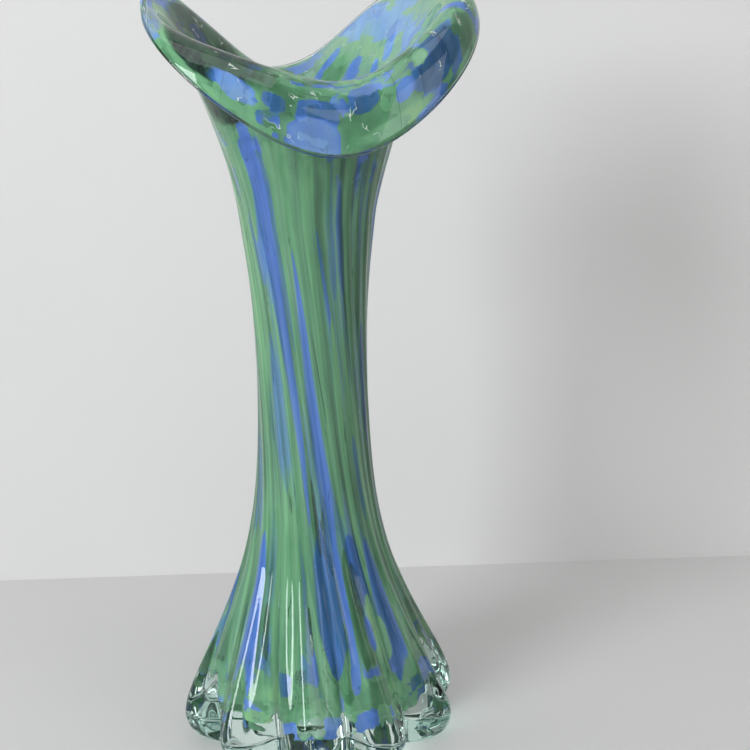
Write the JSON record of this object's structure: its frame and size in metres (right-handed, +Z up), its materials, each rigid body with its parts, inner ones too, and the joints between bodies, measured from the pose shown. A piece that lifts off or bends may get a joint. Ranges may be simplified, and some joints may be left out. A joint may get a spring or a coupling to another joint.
{
  "type": "art glass vase",
  "caption": "Tall hand blown vase with a toed clear foot, a twisted ribbed neck cased over blue and green streaks, and a flared winged rim.",
  "frame": {"origin": "centre of the flat ground underside of the base pad, on the table", "axes": "+Z up along the vase's axis, -Y towards the front, where the rim sags lowest"},
  "size_m": [0.1303, 0.124, 0.3143],
  "materials": {
    "clear_glass": "gloss",
    "foot_glass": "gloss",
    "blue_glass": "gloss",
    "green_glass": "gloss"
  },
  "bodies": {
    "root": {"inner_gather": "clear_glass", "outer_casing": "clear_glass", "rim_lip": "clear_glass", "base_pad": "foot_glass", "blue_streak_1": "blue_glass", "green_streak_1": "green_glass", "blue_streak_2": "blue_glass", "green_streak_2": "green_glass", "blue_streak_3": "blue_glass", "green_streak_3": "green_glass", "blue_streak_4": "blue_glass", "green_streak_4": "green_glass", "blue_streak_5": "blue_glass", "green_streak_5": "green_glass", "foot_toe_01": "foot_glass", "foot_toe_02": "foot_glass", "foot_toe_03": "foot_glass", "foot_toe_04": "foot_glass", "foot_toe_05": "foot_glass", "foot_toe_06": "foot_glass", "foot_toe_07": "foot_glass", "foot_toe_08": "foot_glass", "foot_toe_09": "foot_glass", "foot_toe_10": "foot_glass"}
  },
  "joints": []
}
